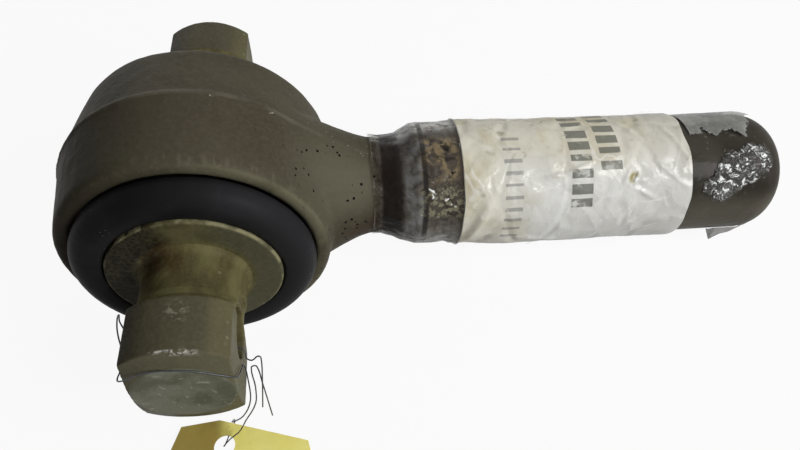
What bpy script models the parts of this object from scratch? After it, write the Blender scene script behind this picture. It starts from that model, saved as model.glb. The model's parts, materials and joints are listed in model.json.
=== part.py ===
"""Torque rod end with a rubber bush, a bar pin and a wrapped threaded shank.

Lengths are in metres. Pieces are modelled in the rod frame: the eye's centre is the origin,
the shank runs along +X, the bar pin along Y (the front end is -Y) and +Z is up.
An empty then lays the rod on the bench: it rests on the eye and on the cap at the shank's end.
"""

import math

import bmesh
import bpy
from mathutils import Vector
from mathutils.geometry import interpolate_bezier

# Fits
GAP = 0.0003
CUT_OVER = 0.0020
MERGE_DISTANCE = 0.00001
SEGMENTS = 36
EYE_SEGMENTS = 56
HOLE_SEGMENTS = 32
SMOOTH_ANGLE = math.radians(35)

# Forged eye, its draft runs both ways from the parting line
EYE_RADIUS = 0.0533
EYE_FACE_RADIUS = 0.0498
EYE_HALF_WIDTH = 0.030
EYE_RIM_ROUND = 0.003
FLASH_HEIGHT = 0.0005
FLASH_HALF_WIDTH = 0.0009
FLASH_CREST = 0.6
EYE_DRAFT = 4
EYE_RIM_STEPS = 3
BORE_RADIUS = 0.0430
BORE_CHAMFER = 0.0017

# Neck and threaded shank of the forging
NECK_RADIUS = 0.0197
NECK_BLEND_START = 0.0200
NECK_BLEND_END = 0.0660
NECK_ROOT_INSET = 0.0022
NECK_ROOT_SHARE = 0.90
NECK_RISE = 1.5
NECK_SWELL = 0.9
NECK_SPREAD = 1.6
NECK_STEPS = 12
NECK_END = 0.070
RELIEF_STEP = 0.0015
RELIEF_SLOPE = 0.0040
RELIEF_RADIUS = 0.0185
SHANK_START = 0.088
SHANK_RADIUS = 0.0230
SHANK_END = 0.2262
SHANK_CHAMFER = 0.0025

# Bush: split outer sleeves, snap rings, rubber
SLEEVE_WALL = 0.0017
SLEEVE_SPLIT = 0.0010
RING_THICKNESS = 0.0018
RING_DEPTH = 0.0038
RING_SEAT = 0.0017
RING_LAND = 0.0022
RING_OPENING = math.radians(24)
RING_STEPS = 24
RUBBER_BULGE = 0.0096
RUBBER_LIP = 0.0010
BULGE_FIRST = math.radians(116)
BULGE_TURN = math.radians(18)
BULGE_STEPS = 6
BULGE_MIDDLE = 0.42

# Bar pin and its thrust washers
BALL_RADIUS = 0.0270
BALL_STEPS = 4
PIN_NECK_RADIUS = 0.0184
PIN_HALF_LENGTH = 0.0850
TANG_RADIUS = 0.0253
TANG_START = 0.0570
TANG_SHOULDER = 0.0055
TANG_CHAMFER_LENGTH = 0.0028
TANG_CHAMFER_DEPTH = 0.0088
TANG_THICKNESS = 0.0336
FLAT_START = 0.0520
BOLT_HOLE_RADIUS = 0.0090
BOLT_HOLE_OFFSET = 0.0640
WASHER_RADIUS = 0.0315
WASHER_THICKNESS = 0.0035
WASHER_PROUD = 0.0095
WASHER_ROUND = 0.0008
WASHER_STEPS = 2

# Shank wrapping: thread protector, paper instructions, clear film
CAP_WALL = 0.0013
CAP_START = 0.0900
CAP_CORNER = 0.0140
CAP_STEPS = 7
LABEL_START = 0.1040
LABEL_END = 0.1950
LABEL_THICKNESS = 0.0010
FILM_THICKNESS = 0.0004
FILM_START = 0.0670
FILM_END = 0.2190
FILM_STEP = 0.0010
FILM_SLOPE = 0.0110

# Stock tag on a thin steel wire, lying on the bench
TAG_LEFT = 0.0202
TAG_RIGHT = 0.0336
TAG_TOP = 0.0092
TAG_LEFT_CLIP = (0.0142, 0.0059)
TAG_RIGHT_CLIP = (0.0022, 0.0035)
TAG_TURN = math.radians(-20.2)
TAG_LENGTH = 0.095
TAG_THICKNESS = 0.0005
TAG_HOLE_RADIUS = 0.0042
TAG_HEIGHT = 0.0013
TAG_HOLE_PLACE = (-0.0024, -0.0838)
TAG_HOLE_SIDES = 24
WIRE_DIAMETER = 0.0005
WIRE_POINT_STEPS = 2

# Worked out from the sizes above
BENCH_RADIUS = EYE_RADIUS + FLASH_HEIGHT
WASHER_FACE = EYE_HALF_WIDTH + WASHER_PROUD
GROOVE_RADIUS = BORE_RADIUS + RING_SEAT + GAP
GROOVE_OUT = EYE_HALF_WIDTH - RING_LAND
GROOVE_IN = GROOVE_OUT - RING_THICKNESS - 2 * GAP
SLEEVE_OUTER = BORE_RADIUS - GAP
SLEEVE_INNER = SLEEVE_OUTER - SLEEVE_WALL
SLEEVE_END = GROOVE_IN - GAP
RING_OUTER = GROOVE_RADIUS - GAP
RING_INNER = RING_OUTER - RING_DEPTH
RUBBER_OUTER = SLEEVE_INNER - GAP
RUBBER_WAIST = RING_INNER - GAP
RUBBER_BORE = PIN_NECK_RADIUS + GAP
CAP_INNER = SHANK_RADIUS + GAP
CAP_OUTER = CAP_INNER + CAP_WALL
CAP_CORNER_START = SHANK_END - SHANK_CHAMFER / 2
CAP_END = CAP_CORNER_START + CAP_CORNER
LABEL_INNER = CAP_OUTER + GAP
LABEL_OUTER = LABEL_INNER + LABEL_THICKNESS
FILM_OVER_CAP = CAP_OUTER + GAP
FILM_OVER_LABEL = LABEL_OUTER + GAP
FILM_OVER_NECK = NECK_RADIUS + GAP


def bench_tilt():
    """Angle by which the shank dips until the cap's round corner meets the bench."""
    along = CAP_CORNER_START
    across = CAP_OUTER - CAP_CORNER
    height = BENCH_RADIUS - CAP_CORNER
    return math.asin(height / math.hypot(along, across)) - math.atan2(across, along)


TILT = bench_tilt()
REACH = (
    CAP_CORNER_START * math.cos(TILT)
    + (CAP_OUTER - CAP_CORNER) * math.sin(TILT)
    + CAP_CORNER
)
EYE_PLACE = ((BENCH_RADIUS - REACH) / 2, 0.0, BENCH_RADIUS)

SQUARE = 90
ALONG_Y = (-math.pi / 2, 0.0, 0.0)
ALONG_X = (0.0, math.pi / 2, 0.0)


# Scene set-up

def empty_scene():
    for old in list(bpy.data.objects):
        bpy.data.objects.remove(old)


def collection(name):
    made = bpy.data.collections.new(name)
    bpy.context.scene.collection.children.link(made)
    return made


empty_scene()
PARTS = collection("rod_end_bearing")
CUTTERS = collection("cutters")
ROD_FRAME = bpy.data.objects.new("rod_frame", None)
PARTS.objects.link(ROD_FRAME)
ROD_FRAME.location = EYE_PLACE
ROD_FRAME.rotation_euler = (0.0, TILT, 0.0)


def material(name, colour, roughness, metallic=0.0, alpha=1.0):
    made = bpy.data.materials.new(name)
    made.use_nodes = True
    shader = made.node_tree.nodes["Principled BSDF"]
    shader.inputs["Base Color"].default_value = (*colour, 1.0)
    shader.inputs["Roughness"].default_value = roughness
    shader.inputs["Metallic"].default_value = metallic
    shader.inputs["Alpha"].default_value = alpha
    return made


OLIVE_PAINT = material("olive_paint", (0.070, 0.062, 0.040), 0.55)
PIN_PAINT = material("pin_paint", (0.110, 0.100, 0.060), 0.50)
PLAIN_STEEL = material("plain_steel", (0.42, 0.41, 0.39), 0.35, metallic=1.0)
BLACK_RUBBER = material("black_rubber", (0.012, 0.012, 0.016), 0.50)
BROWN_PLASTIC = material("brown_plastic", (0.055, 0.048, 0.040), 0.30)
WHITE_PAPER = material("white_paper", (0.62, 0.60, 0.55), 0.70)
CLEAR_FILM = material("clear_film", (0.75, 0.75, 0.74), 0.12, alpha=0.3)
WIRE_STEEL = material("wire_steel", (0.16, 0.17, 0.19), 0.40, metallic=1.0)
YELLOW_CARD = material("yellow_card", (0.62, 0.53, 0.12), 0.70)


# Shape helpers

def add(name, data, finish, rotation=(0.0, 0.0, 0.0), parent=ROD_FRAME):
    made = bpy.data.objects.new(name, data)
    PARTS.objects.link(made)
    made.parent = parent
    made.rotation_euler = rotation
    if finish:
        data.materials.append(finish)
    return made


def as_cutter(cutter):
    PARTS.objects.unlink(cutter)
    CUTTERS.objects.link(cutter)
    cutter.hide_render = True
    cutter.display_type = "WIRE"
    return cutter


def boolean(target, other, operation):
    step = target.modifiers.new(operation.lower(), "BOOLEAN")
    step.operation = operation
    step.object = other
    step.solver = "EXACT"


def arc(centre, radius, start, stop, count):
    """Points of an arc in (radius, height), with angles in degrees from the +radius direction."""
    points = []
    for step in range(count + 1):
        angle = math.radians(start + (stop - start) * step / count)
        points.append((centre[0] + radius * math.cos(angle), centre[1] + radius * math.sin(angle)))
    return points


def turned(name, profile, finish, rotation, closed=False, parent=ROD_FRAME, segments=SEGMENTS):
    """Solid turned about its own Z from (radius, height) points that run down the outer side."""
    mesh = bpy.data.meshes.new(name)
    edges = [(k, k + 1) for k in range(len(profile) - 1)]
    if closed:
        edges.append((len(profile) - 1, 0))
    mesh.from_pydata([(radius, 0.0, height) for radius, height in profile], edges, [])
    made = add(name, mesh, finish, rotation, parent)
    screw = made.modifiers.new("turn", "SCREW")
    screw.axis = "Z"
    screw.steps = screw.render_steps = segments
    screw.use_merge_vertices = True
    screw.merge_threshold = MERGE_DISTANCE
    screw.use_smooth_shade = True
    return made


def tube_profile(outer, inner, low, high):
    return [(outer, high), (outer, low), (inner, low), (inner, high)]


def mirrored_down(upper):
    """The points of a profile's upper half followed by their mirror image below the mid-plane."""
    return upper + [(radius, -height) for radius, height in reversed(upper)]


def box_cutter(name, low, high):
    mesh = bpy.data.meshes.new(name)
    shape = bmesh.new()
    bmesh.ops.create_cube(shape, size=1.0)
    size = Vector(high) - Vector(low)
    middle = (Vector(high) + Vector(low)) / 2
    bmesh.ops.scale(shape, vec=size, verts=shape.verts)
    bmesh.ops.translate(shape, vec=middle, verts=shape.verts)
    shape.to_mesh(mesh)
    shape.free()
    return as_cutter(add(name, mesh, None))


def bar_cutter(name, radius, length, place):
    """Round bar along X, for a cross hole."""
    mesh = bpy.data.meshes.new(name)
    shape = bmesh.new()
    bmesh.ops.create_cone(
        shape, cap_ends=True, segments=HOLE_SEGMENTS, radius1=radius, radius2=radius, depth=length
    )
    shape.to_mesh(mesh)
    shape.free()
    cutter = as_cutter(add(name, mesh, None, ALONG_X))
    cutter.location = place
    return cutter


def loft(name, sections, finish, sides):
    """Closed skin through oval sections (x, half width in y, half height in z)."""
    mesh = bpy.data.meshes.new(name)
    shape = bmesh.new()
    rings = []
    for x, half_y, half_z in sections:
        ring = []
        for side in range(sides):
            angle = 2 * math.pi * side / sides
            ring.append(shape.verts.new((x, half_y * math.cos(angle), half_z * math.sin(angle))))
        rings.append(ring)
    for near, far in zip(rings, rings[1:]):
        for side in range(sides):
            after = (side + 1) % sides
            shape.faces.new((near[side], near[after], far[after], far[side]))
    shape.faces.new(reversed(rings[0]))
    shape.faces.new(rings[-1])
    bmesh.ops.recalc_face_normals(shape, faces=shape.faces)
    shape.to_mesh(mesh)
    shape.free()
    mesh.shade_smooth()
    mesh.set_sharp_from_angle(angle=SMOOTH_ANGLE)
    return add(name, mesh, finish)


def smooth_route(points, steps):
    """Points of a smooth curve through the route's own points."""
    corners = [Vector(point) for point in points]
    ends = [2 * corners[0] - corners[1], *corners, 2 * corners[-1] - corners[-2]]
    path = []
    for before, here, there, beyond in zip(ends, ends[1:], ends[2:], ends[3:]):
        reach = (there - here).length / 3
        lead = here + (there - before).normalized() * reach
        trail = there - (beyond - here).normalized() * reach
        path += interpolate_bezier(here, lead, trail, there, steps + 1)[:-1]
    return path + [corners[-1]]


# Rod end forging: eye, neck, thread relief and shank

def neck_sections():
    """Oval sections from inside the eye, where the neck is tall and flat-sided, to the round shank."""
    root_half_width = EYE_HALF_WIDTH - NECK_ROOT_INSET
    root_half_height = EYE_RADIUS * NECK_ROOT_SHARE
    sections = []
    for step in range(NECK_STEPS + 1):
        share = step / NECK_STEPS
        x = NECK_BLEND_START + (NECK_BLEND_END - NECK_BLEND_START) * share
        rise = (1 - share) ** NECK_RISE * (1 + NECK_SWELL * share)
        half_z = NECK_RADIUS + (root_half_height - NECK_RADIUS) * rise
        half_y = NECK_RADIUS + (root_half_width - NECK_RADIUS) * (1 - share**NECK_SPREAD)
        sections.append((x, half_y, half_z))
    round_stretch = [
        (NECK_END, NECK_RADIUS),
        (NECK_END + RELIEF_STEP, RELIEF_RADIUS),
        (SHANK_START - RELIEF_SLOPE, RELIEF_RADIUS),
        (SHANK_START, SHANK_RADIUS),
        (SHANK_END - SHANK_CHAMFER, SHANK_RADIUS),
        (SHANK_END, SHANK_RADIUS - SHANK_CHAMFER),
    ]
    return sections + [(x, radius, radius) for x, radius in round_stretch]


def eye_profile():
    corner = (EYE_FACE_RADIUS - EYE_RIM_ROUND, EYE_HALF_WIDTH - EYE_RIM_ROUND)
    upper = [(0.0, EYE_HALF_WIDTH)]
    upper += arc(corner, EYE_RIM_ROUND, SQUARE, EYE_DRAFT, EYE_RIM_STEPS)
    upper.append((EYE_RADIUS, FLASH_HALF_WIDTH))
    upper.append((EYE_RADIUS + FLASH_HEIGHT, FLASH_HALF_WIDTH * FLASH_CREST))
    return mirrored_down(upper)


def bore_profile():
    upper = [
        (0.0, EYE_HALF_WIDTH + CUT_OVER),
        (BORE_RADIUS + BORE_CHAMFER + CUT_OVER, EYE_HALF_WIDTH + CUT_OVER),
        (BORE_RADIUS, EYE_HALF_WIDTH - BORE_CHAMFER),
        (BORE_RADIUS, GROOVE_OUT),
        (GROOVE_RADIUS, GROOVE_OUT),
        (GROOVE_RADIUS, GROOVE_IN),
        (BORE_RADIUS, GROOVE_IN),
    ]
    return mirrored_down(upper)


def make_forging():
    forging = turned(
        "rod_end_forging", eye_profile(), OLIVE_PAINT, ALONG_Y, segments=EYE_SEGMENTS
    )
    neck = as_cutter(loft("neck_and_shank", neck_sections(), OLIVE_PAINT, SEGMENTS))
    bore = as_cutter(
        turned("eye_bore", bore_profile(), None, ALONG_Y, segments=EYE_SEGMENTS)
    )
    boolean(forging, neck, "UNION")
    boolean(forging, bore, "DIFFERENCE")


# Bush: outer sleeves, snap rings, rubber

def make_sleeves():
    near = SLEEVE_SPLIT / 2
    turned(
        "front_outer_sleeve",
        tube_profile(SLEEVE_OUTER, SLEEVE_INNER, -SLEEVE_END, -near),
        PLAIN_STEEL,
        ALONG_Y,
        closed=True,
    )
    turned(
        "rear_outer_sleeve",
        tube_profile(SLEEVE_OUTER, SLEEVE_INNER, near, SLEEVE_END),
        PLAIN_STEEL,
        ALONG_Y,
        closed=True,
    )


def ring_outline():
    """C-shaped outline, open towards +X, with the opening's edges square to the ring."""
    start = RING_OPENING / 2
    sweep = 2 * math.pi - RING_OPENING
    angles = [start + sweep * step / RING_STEPS for step in range(RING_STEPS + 1)]
    outer = [(RING_OUTER * math.cos(a), RING_OUTER * math.sin(a)) for a in angles]
    inner = [(RING_INNER * math.cos(a), RING_INNER * math.sin(a)) for a in reversed(angles)]
    return outer + inner


def plate(name, outlines, thickness, finish):
    """Flat plate from closed outlines; the first is its edge and the others are holes."""
    curve = bpy.data.curves.new(name, "CURVE")
    curve.dimensions = "2D"
    curve.fill_mode = "BOTH"
    curve.extrude = thickness / 2
    for outline in outlines:
        spline = curve.splines.new("POLY")
        spline.points.add(len(outline) - 1)
        for point, (x, y) in zip(spline.points, outline):
            point.co = (x, y, 0.0, 1.0)
        spline.use_cyclic_u = True
    return add(name, curve, finish)


def make_snap_rings():
    middle = (GROOVE_IN + GROOVE_OUT) / 2
    for name, side in (("front_snap_ring", -1), ("rear_snap_ring", 1)):
        ring = plate(name, [ring_outline()], RING_THICKNESS, PLAIN_STEEL)
        ring.rotation_euler = ALONG_Y
        ring.location = (0.0, side * middle, 0.0)


def rubber_profile():
    """Bush section: bulging lips outside, a spherical seat for the pin's ball inside."""
    lip_inner = WASHER_RADIUS + GAP
    seat = WASHER_FACE - WASHER_THICKNESS - GAP
    lip_outer = BORE_RADIUS + BORE_CHAMFER - RUBBER_LIP / 2
    foot = EYE_HALF_WIDTH + RUBBER_LIP / 2
    crown = EYE_HALF_WIDTH + RUBBER_BULGE
    bulge = crown - foot - RUBBER_LIP
    bulge_width = lip_outer - lip_inner
    upper = [(lip_inner, WASHER_FACE - WASHER_ROUND)]
    for step in range(1, BULGE_STEPS + 1):
        angle = BULGE_FIRST - BULGE_TURN * step
        across = BULGE_MIDDLE + (1 - BULGE_MIDDLE) * math.cos(angle)
        upper.append((lip_inner + bulge_width * across, foot + RUBBER_LIP + bulge * math.sin(angle)))
    upper.append((lip_outer - RUBBER_LIP / 2, foot))
    upper.append((BORE_RADIUS - RUBBER_LIP, EYE_HALF_WIDTH - BORE_CHAMFER))
    upper.append((RUBBER_WAIST, GROOVE_OUT))
    upper.append((RUBBER_WAIST, GROOVE_IN))
    upper.append((RUBBER_OUTER, SLEEVE_END - GAP))
    outside = mirrored_down(upper)
    seat_radius = BALL_RADIUS + GAP
    half_angle = math.degrees(math.acos(RUBBER_BORE / seat_radius))
    ball_seat = arc((0.0, 0.0), seat_radius, -half_angle, half_angle, 2 * BALL_STEPS)
    front = [(lip_inner, -seat), (RUBBER_BORE, -seat)]
    rear = [(RUBBER_BORE, seat), (lip_inner, seat)]
    return outside + front + ball_seat + rear


def make_rubber():
    turned("rubber_bush", rubber_profile(), BLACK_RUBBER, ALONG_Y, closed=True)


# Bar pin and thrust washers

def pin_profile():
    half_angle = math.degrees(math.acos(PIN_NECK_RADIUS / BALL_RADIUS))
    ball = arc((0.0, 0.0), BALL_RADIUS, half_angle, 0, BALL_STEPS)
    upper = [
        (0.0, PIN_HALF_LENGTH),
        (TANG_RADIUS - TANG_CHAMFER_DEPTH, PIN_HALF_LENGTH),
        (TANG_RADIUS, PIN_HALF_LENGTH - TANG_CHAMFER_LENGTH),
        (TANG_RADIUS, TANG_START + TANG_SHOULDER),
        (PIN_NECK_RADIUS, TANG_START),
    ]
    half = upper + ball
    return half[:-1] + [(radius, -height) for radius, height in reversed(half)]


def make_pin():
    pin = turned("bar_pin", pin_profile(), PIN_PAINT, ALONG_Y)
    side_low = TANG_THICKNESS / 2
    side_high = TANG_RADIUS + CUT_OVER
    far = PIN_HALF_LENGTH + CUT_OVER
    for end_name, end in (("front", -1), ("rear", 1)):
        for side_name, side in (("left", -1), ("right", 1)):
            xs = sorted((side * side_low, side * side_high))
            ys = sorted((end * FLAT_START, end * far))
            low = (xs[0], ys[0], -side_high)
            high = (xs[1], ys[1], side_high)
            boolean(pin, box_cutter(f"{end_name}_{side_name}_flat", low, high), "DIFFERENCE")
        place = (0.0, end * BOLT_HOLE_OFFSET, 0.0)
        length = TANG_THICKNESS + 2 * CUT_OVER
        hole = bar_cutter(f"{end_name}_bolt_hole", BOLT_HOLE_RADIUS, length, place)
        boolean(pin, hole, "DIFFERENCE")


def make_washers():
    bore = PIN_NECK_RADIUS + GAP
    corner = (WASHER_RADIUS - WASHER_ROUND, WASHER_FACE - WASHER_ROUND)
    back = WASHER_FACE - WASHER_THICKNESS
    rear = arc(corner, WASHER_ROUND, SQUARE, 0, WASHER_STEPS)
    rear += [(WASHER_RADIUS, back), (bore, back), (bore, WASHER_FACE)]
    front = [(radius, -height) for radius, height in reversed(rear)]
    turned("rear_thrust_washer", rear, PIN_PAINT, ALONG_Y, True)
    turned("front_thrust_washer", front, PIN_PAINT, ALONG_Y, True)


# Wrapping of the shank

def make_thread_protector():
    corner = (CAP_OUTER - CAP_CORNER, CAP_CORNER_START)
    profile = [(0.0, CAP_END)]
    profile += arc(corner, CAP_CORNER, SQUARE, 0, CAP_STEPS)
    profile += [(CAP_OUTER, CAP_START), (CAP_INNER, CAP_START)]
    profile += arc(corner, CAP_CORNER - CAP_WALL, 0, SQUARE, CAP_STEPS)
    profile.append((0.0, CAP_END - CAP_WALL))
    turned("thread_protector", profile, BROWN_PLASTIC, ALONG_X)


def make_label():
    profile = tube_profile(LABEL_OUTER, LABEL_INNER, LABEL_START, LABEL_END)
    turned("instruction_label", profile, WHITE_PAPER, ALONG_X, closed=True)


def film_line():
    """Inner line of the film as (radius, x): over the neck, up to the cap, over the paper, onto the cap."""
    climb = SHANK_START - 3 * FILM_STEP
    return [
        (FILM_OVER_CAP, FILM_END),
        (FILM_OVER_CAP, LABEL_END + FILM_STEP + GAP),
        (FILM_OVER_LABEL, LABEL_END + GAP),
        (FILM_OVER_LABEL, LABEL_START - GAP),
        (FILM_OVER_CAP, LABEL_START - FILM_STEP - GAP),
        (FILM_OVER_CAP, climb),
        (FILM_OVER_NECK, climb - FILM_SLOPE),
        (FILM_OVER_NECK, FILM_START),
    ]


def make_film():
    inner = film_line()
    outer = [(radius + FILM_THICKNESS, x) for radius, x in inner]
    turned("clear_film", outer + inner[::-1], CLEAR_FILM, ALONG_X, closed=True)


# Stock tag and its wire

def tag_outline():
    """Shipping tag with two clipped corners; the hole is the origin and the tag runs to -Y."""
    foot = TAG_TOP - TAG_LENGTH
    return [
        (TAG_RIGHT - TAG_RIGHT_CLIP[0], TAG_TOP),
        (TAG_RIGHT, TAG_TOP - TAG_RIGHT_CLIP[1]),
        (TAG_RIGHT, foot),
        (-TAG_LEFT, foot),
        (-TAG_LEFT, TAG_TOP - TAG_LEFT_CLIP[1]),
        (-TAG_LEFT + TAG_LEFT_CLIP[0], TAG_TOP),
    ]


def make_tag():
    hole = [
        (TAG_HOLE_RADIUS * math.cos(a), TAG_HOLE_RADIUS * math.sin(a))
        for a in (2 * math.pi * step / TAG_HOLE_SIDES for step in range(TAG_HOLE_SIDES))
    ]
    tag = plate("stock_tag", [tag_outline(), hole], TAG_THICKNESS, YELLOW_CARD)
    tag.parent = None
    tag.rotation_euler = (0.0, 0.0, TAG_TURN)
    tag.location = (
        EYE_PLACE[0] + TAG_HOLE_PLACE[0],
        TAG_HOLE_PLACE[1],
        TAG_HEIGHT + TAG_THICKNESS / 2,
    )


# Route of the wire in (x, y, height) from the point of the bench below the eye's centre
WIRE_ROUTE = [
    (0.0181, -0.0800, 0.0245),
    (0.0218, -0.0770, 0.0403),
    (0.0234, -0.0732, 0.0490),
    (0.0224, -0.0726, 0.0493),
    (0.0196, -0.0722, 0.0462),
    (0.0176, -0.0710, 0.0458),
    (0.0171, -0.0688, 0.0479),
    (0.0116, -0.0672, 0.0498),
    (-0.0003, -0.0665, 0.0518),
    (-0.0121, -0.0663, 0.0538),
    (-0.0177, -0.0660, 0.0566),
    (-0.0176, -0.0654, 0.0642),
    (-0.0168, -0.0654, 0.0711),
    (-0.0150, -0.0662, 0.0761),
    (-0.0166, -0.0678, 0.0727),
    (-0.0177, -0.0694, 0.0684),
    (-0.0170, -0.0735, 0.0656),
    (-0.0163, -0.0790, 0.0658),
    (-0.0160, -0.0842, 0.0678),
    (-0.0134, -0.0854, 0.0693),
    (-0.0072, -0.0854, 0.0719),
    (-0.0011, -0.0854, 0.0721),
    (0.0076, -0.0854, 0.0693),
    (0.0134, -0.0854, 0.0653),
    (0.0186, -0.0850, 0.0608),
    (0.0183, -0.0820, 0.0560),
    (0.0174, -0.0775, 0.0507),
    (0.0168, -0.0734, 0.0461),
    (0.0166, -0.0752, 0.0406),
    (0.0156, -0.0800, 0.0320),
    (0.0102, -0.0810, 0.0212),
    (0.0035, -0.0790, 0.0123),
    (0.0016, -0.0746, 0.0040),
    (0.0010, -0.0742, 0.0010),
    (-0.0002, -0.0766, 0.0005),
    (-0.0016, -0.0805, 0.0005),
    (-0.0025, -0.0832, 0.0009),
    (-0.0023, -0.0839, 0.0024),
    (0.0004, -0.0820, 0.0036),
    (0.0042, -0.0806, 0.0056),
    (0.0099, -0.0812, 0.0170),
    (0.0168, -0.0804, 0.0294),
    (0.0184, -0.0774, 0.0364),
    (0.0186, -0.0734, 0.0434),
    (0.0203, -0.0729, 0.0428),
    (0.0203, -0.0752, 0.0346),
    (0.0191, -0.0790, 0.0136),
]


def make_wire():
    path = smooth_route(WIRE_ROUTE, WIRE_POINT_STEPS)
    curve = bpy.data.curves.new("tag_wire", "CURVE")
    curve.dimensions = "3D"
    curve.bevel_depth = WIRE_DIAMETER / 2
    curve.bevel_resolution = 2
    curve.use_fill_caps = True
    spline = curve.splines.new("POLY")
    spline.points.add(len(path) - 1)
    for point, place in zip(spline.points, path):
        point.co = (*place, 1.0)
    wire = add("tag_wire", curve, WIRE_STEEL, parent=None)
    wire.location = (EYE_PLACE[0], 0.0, 0.0)


make_forging()
make_sleeves()
make_snap_rings()
make_rubber()
make_pin()
make_washers()
make_thread_protector()
make_label()
make_film()
make_tag()
make_wire()
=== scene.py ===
"""Looks of the torque rod end: studio, camera, refined pieces and their finishes.

Lengths are in metres. The rod frame has its origin at the eye's centre, with X along the shank,
Y along the bar pin (the front is -Y) and Z up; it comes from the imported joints.
"""

import json
import math

import bpy
import numpy as np
from mathutils import Matrix, Vector, noise


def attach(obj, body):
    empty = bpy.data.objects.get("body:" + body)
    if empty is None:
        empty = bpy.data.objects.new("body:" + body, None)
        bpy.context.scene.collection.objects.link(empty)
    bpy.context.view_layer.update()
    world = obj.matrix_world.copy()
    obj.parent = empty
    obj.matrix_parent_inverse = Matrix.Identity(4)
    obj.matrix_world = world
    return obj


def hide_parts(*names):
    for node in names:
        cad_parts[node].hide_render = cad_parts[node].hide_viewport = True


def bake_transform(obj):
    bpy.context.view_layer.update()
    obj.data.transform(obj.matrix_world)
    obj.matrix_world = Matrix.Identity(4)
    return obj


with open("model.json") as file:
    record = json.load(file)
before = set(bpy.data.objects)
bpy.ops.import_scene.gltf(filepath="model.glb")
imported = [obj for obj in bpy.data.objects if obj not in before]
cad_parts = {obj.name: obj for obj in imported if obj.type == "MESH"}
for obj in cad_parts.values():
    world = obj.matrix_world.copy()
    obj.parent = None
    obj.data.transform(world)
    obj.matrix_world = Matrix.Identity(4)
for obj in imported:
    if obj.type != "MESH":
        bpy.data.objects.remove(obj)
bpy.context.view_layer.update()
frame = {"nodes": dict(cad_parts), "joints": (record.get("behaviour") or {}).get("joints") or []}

# Frame of the rod, from the joints
JOINTS = {joint["name"]: joint for joint in frame["joints"]}
EYE = Vector(JOINTS["pin_twist"]["pos_m"])
ROD_X = Vector(JOINTS["pin_tilt"]["axis"]).normalized()
ROD_Y = Vector(JOINTS["pin_twist"]["axis"]).normalized()
ROD_Z = ROD_X.cross(ROD_Y)
ROD = Matrix.Translation(EYE) @ Matrix((ROD_X, ROD_Y, ROD_Z)).transposed().to_4x4()

# Camera, in the rod frame
CAMERA_AZIMUTH = math.radians(-10.19)
CAMERA_ELEVATION = math.radians(51.36)
CAMERA_ROLL = math.radians(4.89)
CAMERA_DISTANCE = 0.25911
CAMERA_RIGHT = 0.07888
CAMERA_UP = -0.01188
CAMERA_LENS = 28.89
CAMERA_SENSOR = 36.0
CAMERA_NEAR = 0.01

# Floor: half its width, how far it lies below the bench plane, its grey and the share that is plain white
FLOOR_REACH = 3.0
FLOOR_DEPTH = 0.0002
FLOOR_GREY = 0.50
FLOOR_ROUGHNESS = 0.9
FLOOR_GLOW = 0.93

# Light: strength of the air, and name, place, size and power of each lamp
AIR_LIGHT = 0.05
LAMP_AIM = (0.0, 0.0, 0.05)
LAMPS = (
    ("key", (0.78, -0.56, 0.68), 0.40, 15.0),
    ("fill", (-0.55, -0.75, 0.70), 0.8, 0.1),
    ("back", (0.40, 0.70, 0.80), 0.6, 1.7),
    ("rear", (-0.35, 0.92, 0.25), 0.7, 1.8),
)

# Side of the rod that faces the camera, as shares to the front and up, and the way down its round from there
FACING_FRONT = 0.66
FACING_UP = 0.75
ROD_FACING = -FACING_FRONT * ROD_Y + FACING_UP * ROD_Z
ROD_DOWN = -FACING_UP * ROD_Y - FACING_FRONT * ROD_Z
FACING_ANGLE = math.atan2(FACING_UP, -FACING_FRONT)
UPPER_SIDE = (0.0, FACING_UP, FACING_FRONT)

# Mesh fineness: voxel size and smoothing steps, facets of the CAD rounds, rows and columns of the wraps
WELD_DISTANCE = 0.000005
SOFTEN_FACTOR = 0.5
SHARP_ANGLE = math.radians(30)
FORGING_MESH = (0.0009, 6)
PIN_MESH = (0.00045, 3)
WASHER_MESH = (0.0005, 2)
RUBBER_MESH = (0.0008, 12)
EYE_FACETS = 56
NECK_FACETS = 36
PIN_FACETS = 36
CAP_GRID = (220, 200)
LABEL_GRID = (240, 300)
FILM_GRID = (340, 300)
FRINGE_GRID = (6, 50)

# Unevenness is given as height, scale and seed of each noise that adds to it

# Forging: where its round changes from eye to neck, its raised parting line, and where lumps start and end
NECK_ROUND_START = 0.030
NECK_ROUND_LENGTH = 0.016
PARTING_WIDTH = 0.0010
PARTING_HEIGHT = 0.00030
PARTING_EVEN = 0.7
PARTING_UNEVEN = ((0.3, 160, 2),)
LUMPS_FROM_RADIUS = 0.0455
LUMPS_END = 0.066
FORGING_LUMPS = ((0.00022, 60, 1), (0.00008, 240, 3))

# Forged neck: it sits a little to the upper side where the film starts
NECK_BEND = 0.0012
NECK_BEND_START = 0.042
NECK_BEND_LENGTH = 0.022

# Pin: half sizes of the part that is round and not flat, its radius and lumps
ROUND_HALF_WIDTH = 0.0164
ROUND_HALF_LENGTH = 0.0515
PIN_RADIUS = 0.0184
PIN_LUMPS = ((0.00010, 90, 4), (0.00005, 320, 5))

# Fillet of the pin at its washers: place of their faces, how far inside them it starts, and radius
WASHER_FACE = 0.0393
FILLET_SUNK = 0.0006
FILLET_START = WASHER_FACE - FILLET_SUNK
PIN_FILLET = 0.0042

# Crown of the front tang: it lies a little lower than the turned round, behind a longer shoulder
TANG_DROP = 0.0016
TANG_START = 0.057
TANG_EASE = 0.005
CROWN_EASE = 0.012
SHOULDER_START = 0.049
SHOULDER_END = 0.0615
SHOULDER_RISE = 0.0048
SHOULDER_EASE = 0.008
SHOULDER_LEAST = 0.9

# Least height of the wrapping above the bench
BENCH_GAP = 0.0001

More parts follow.
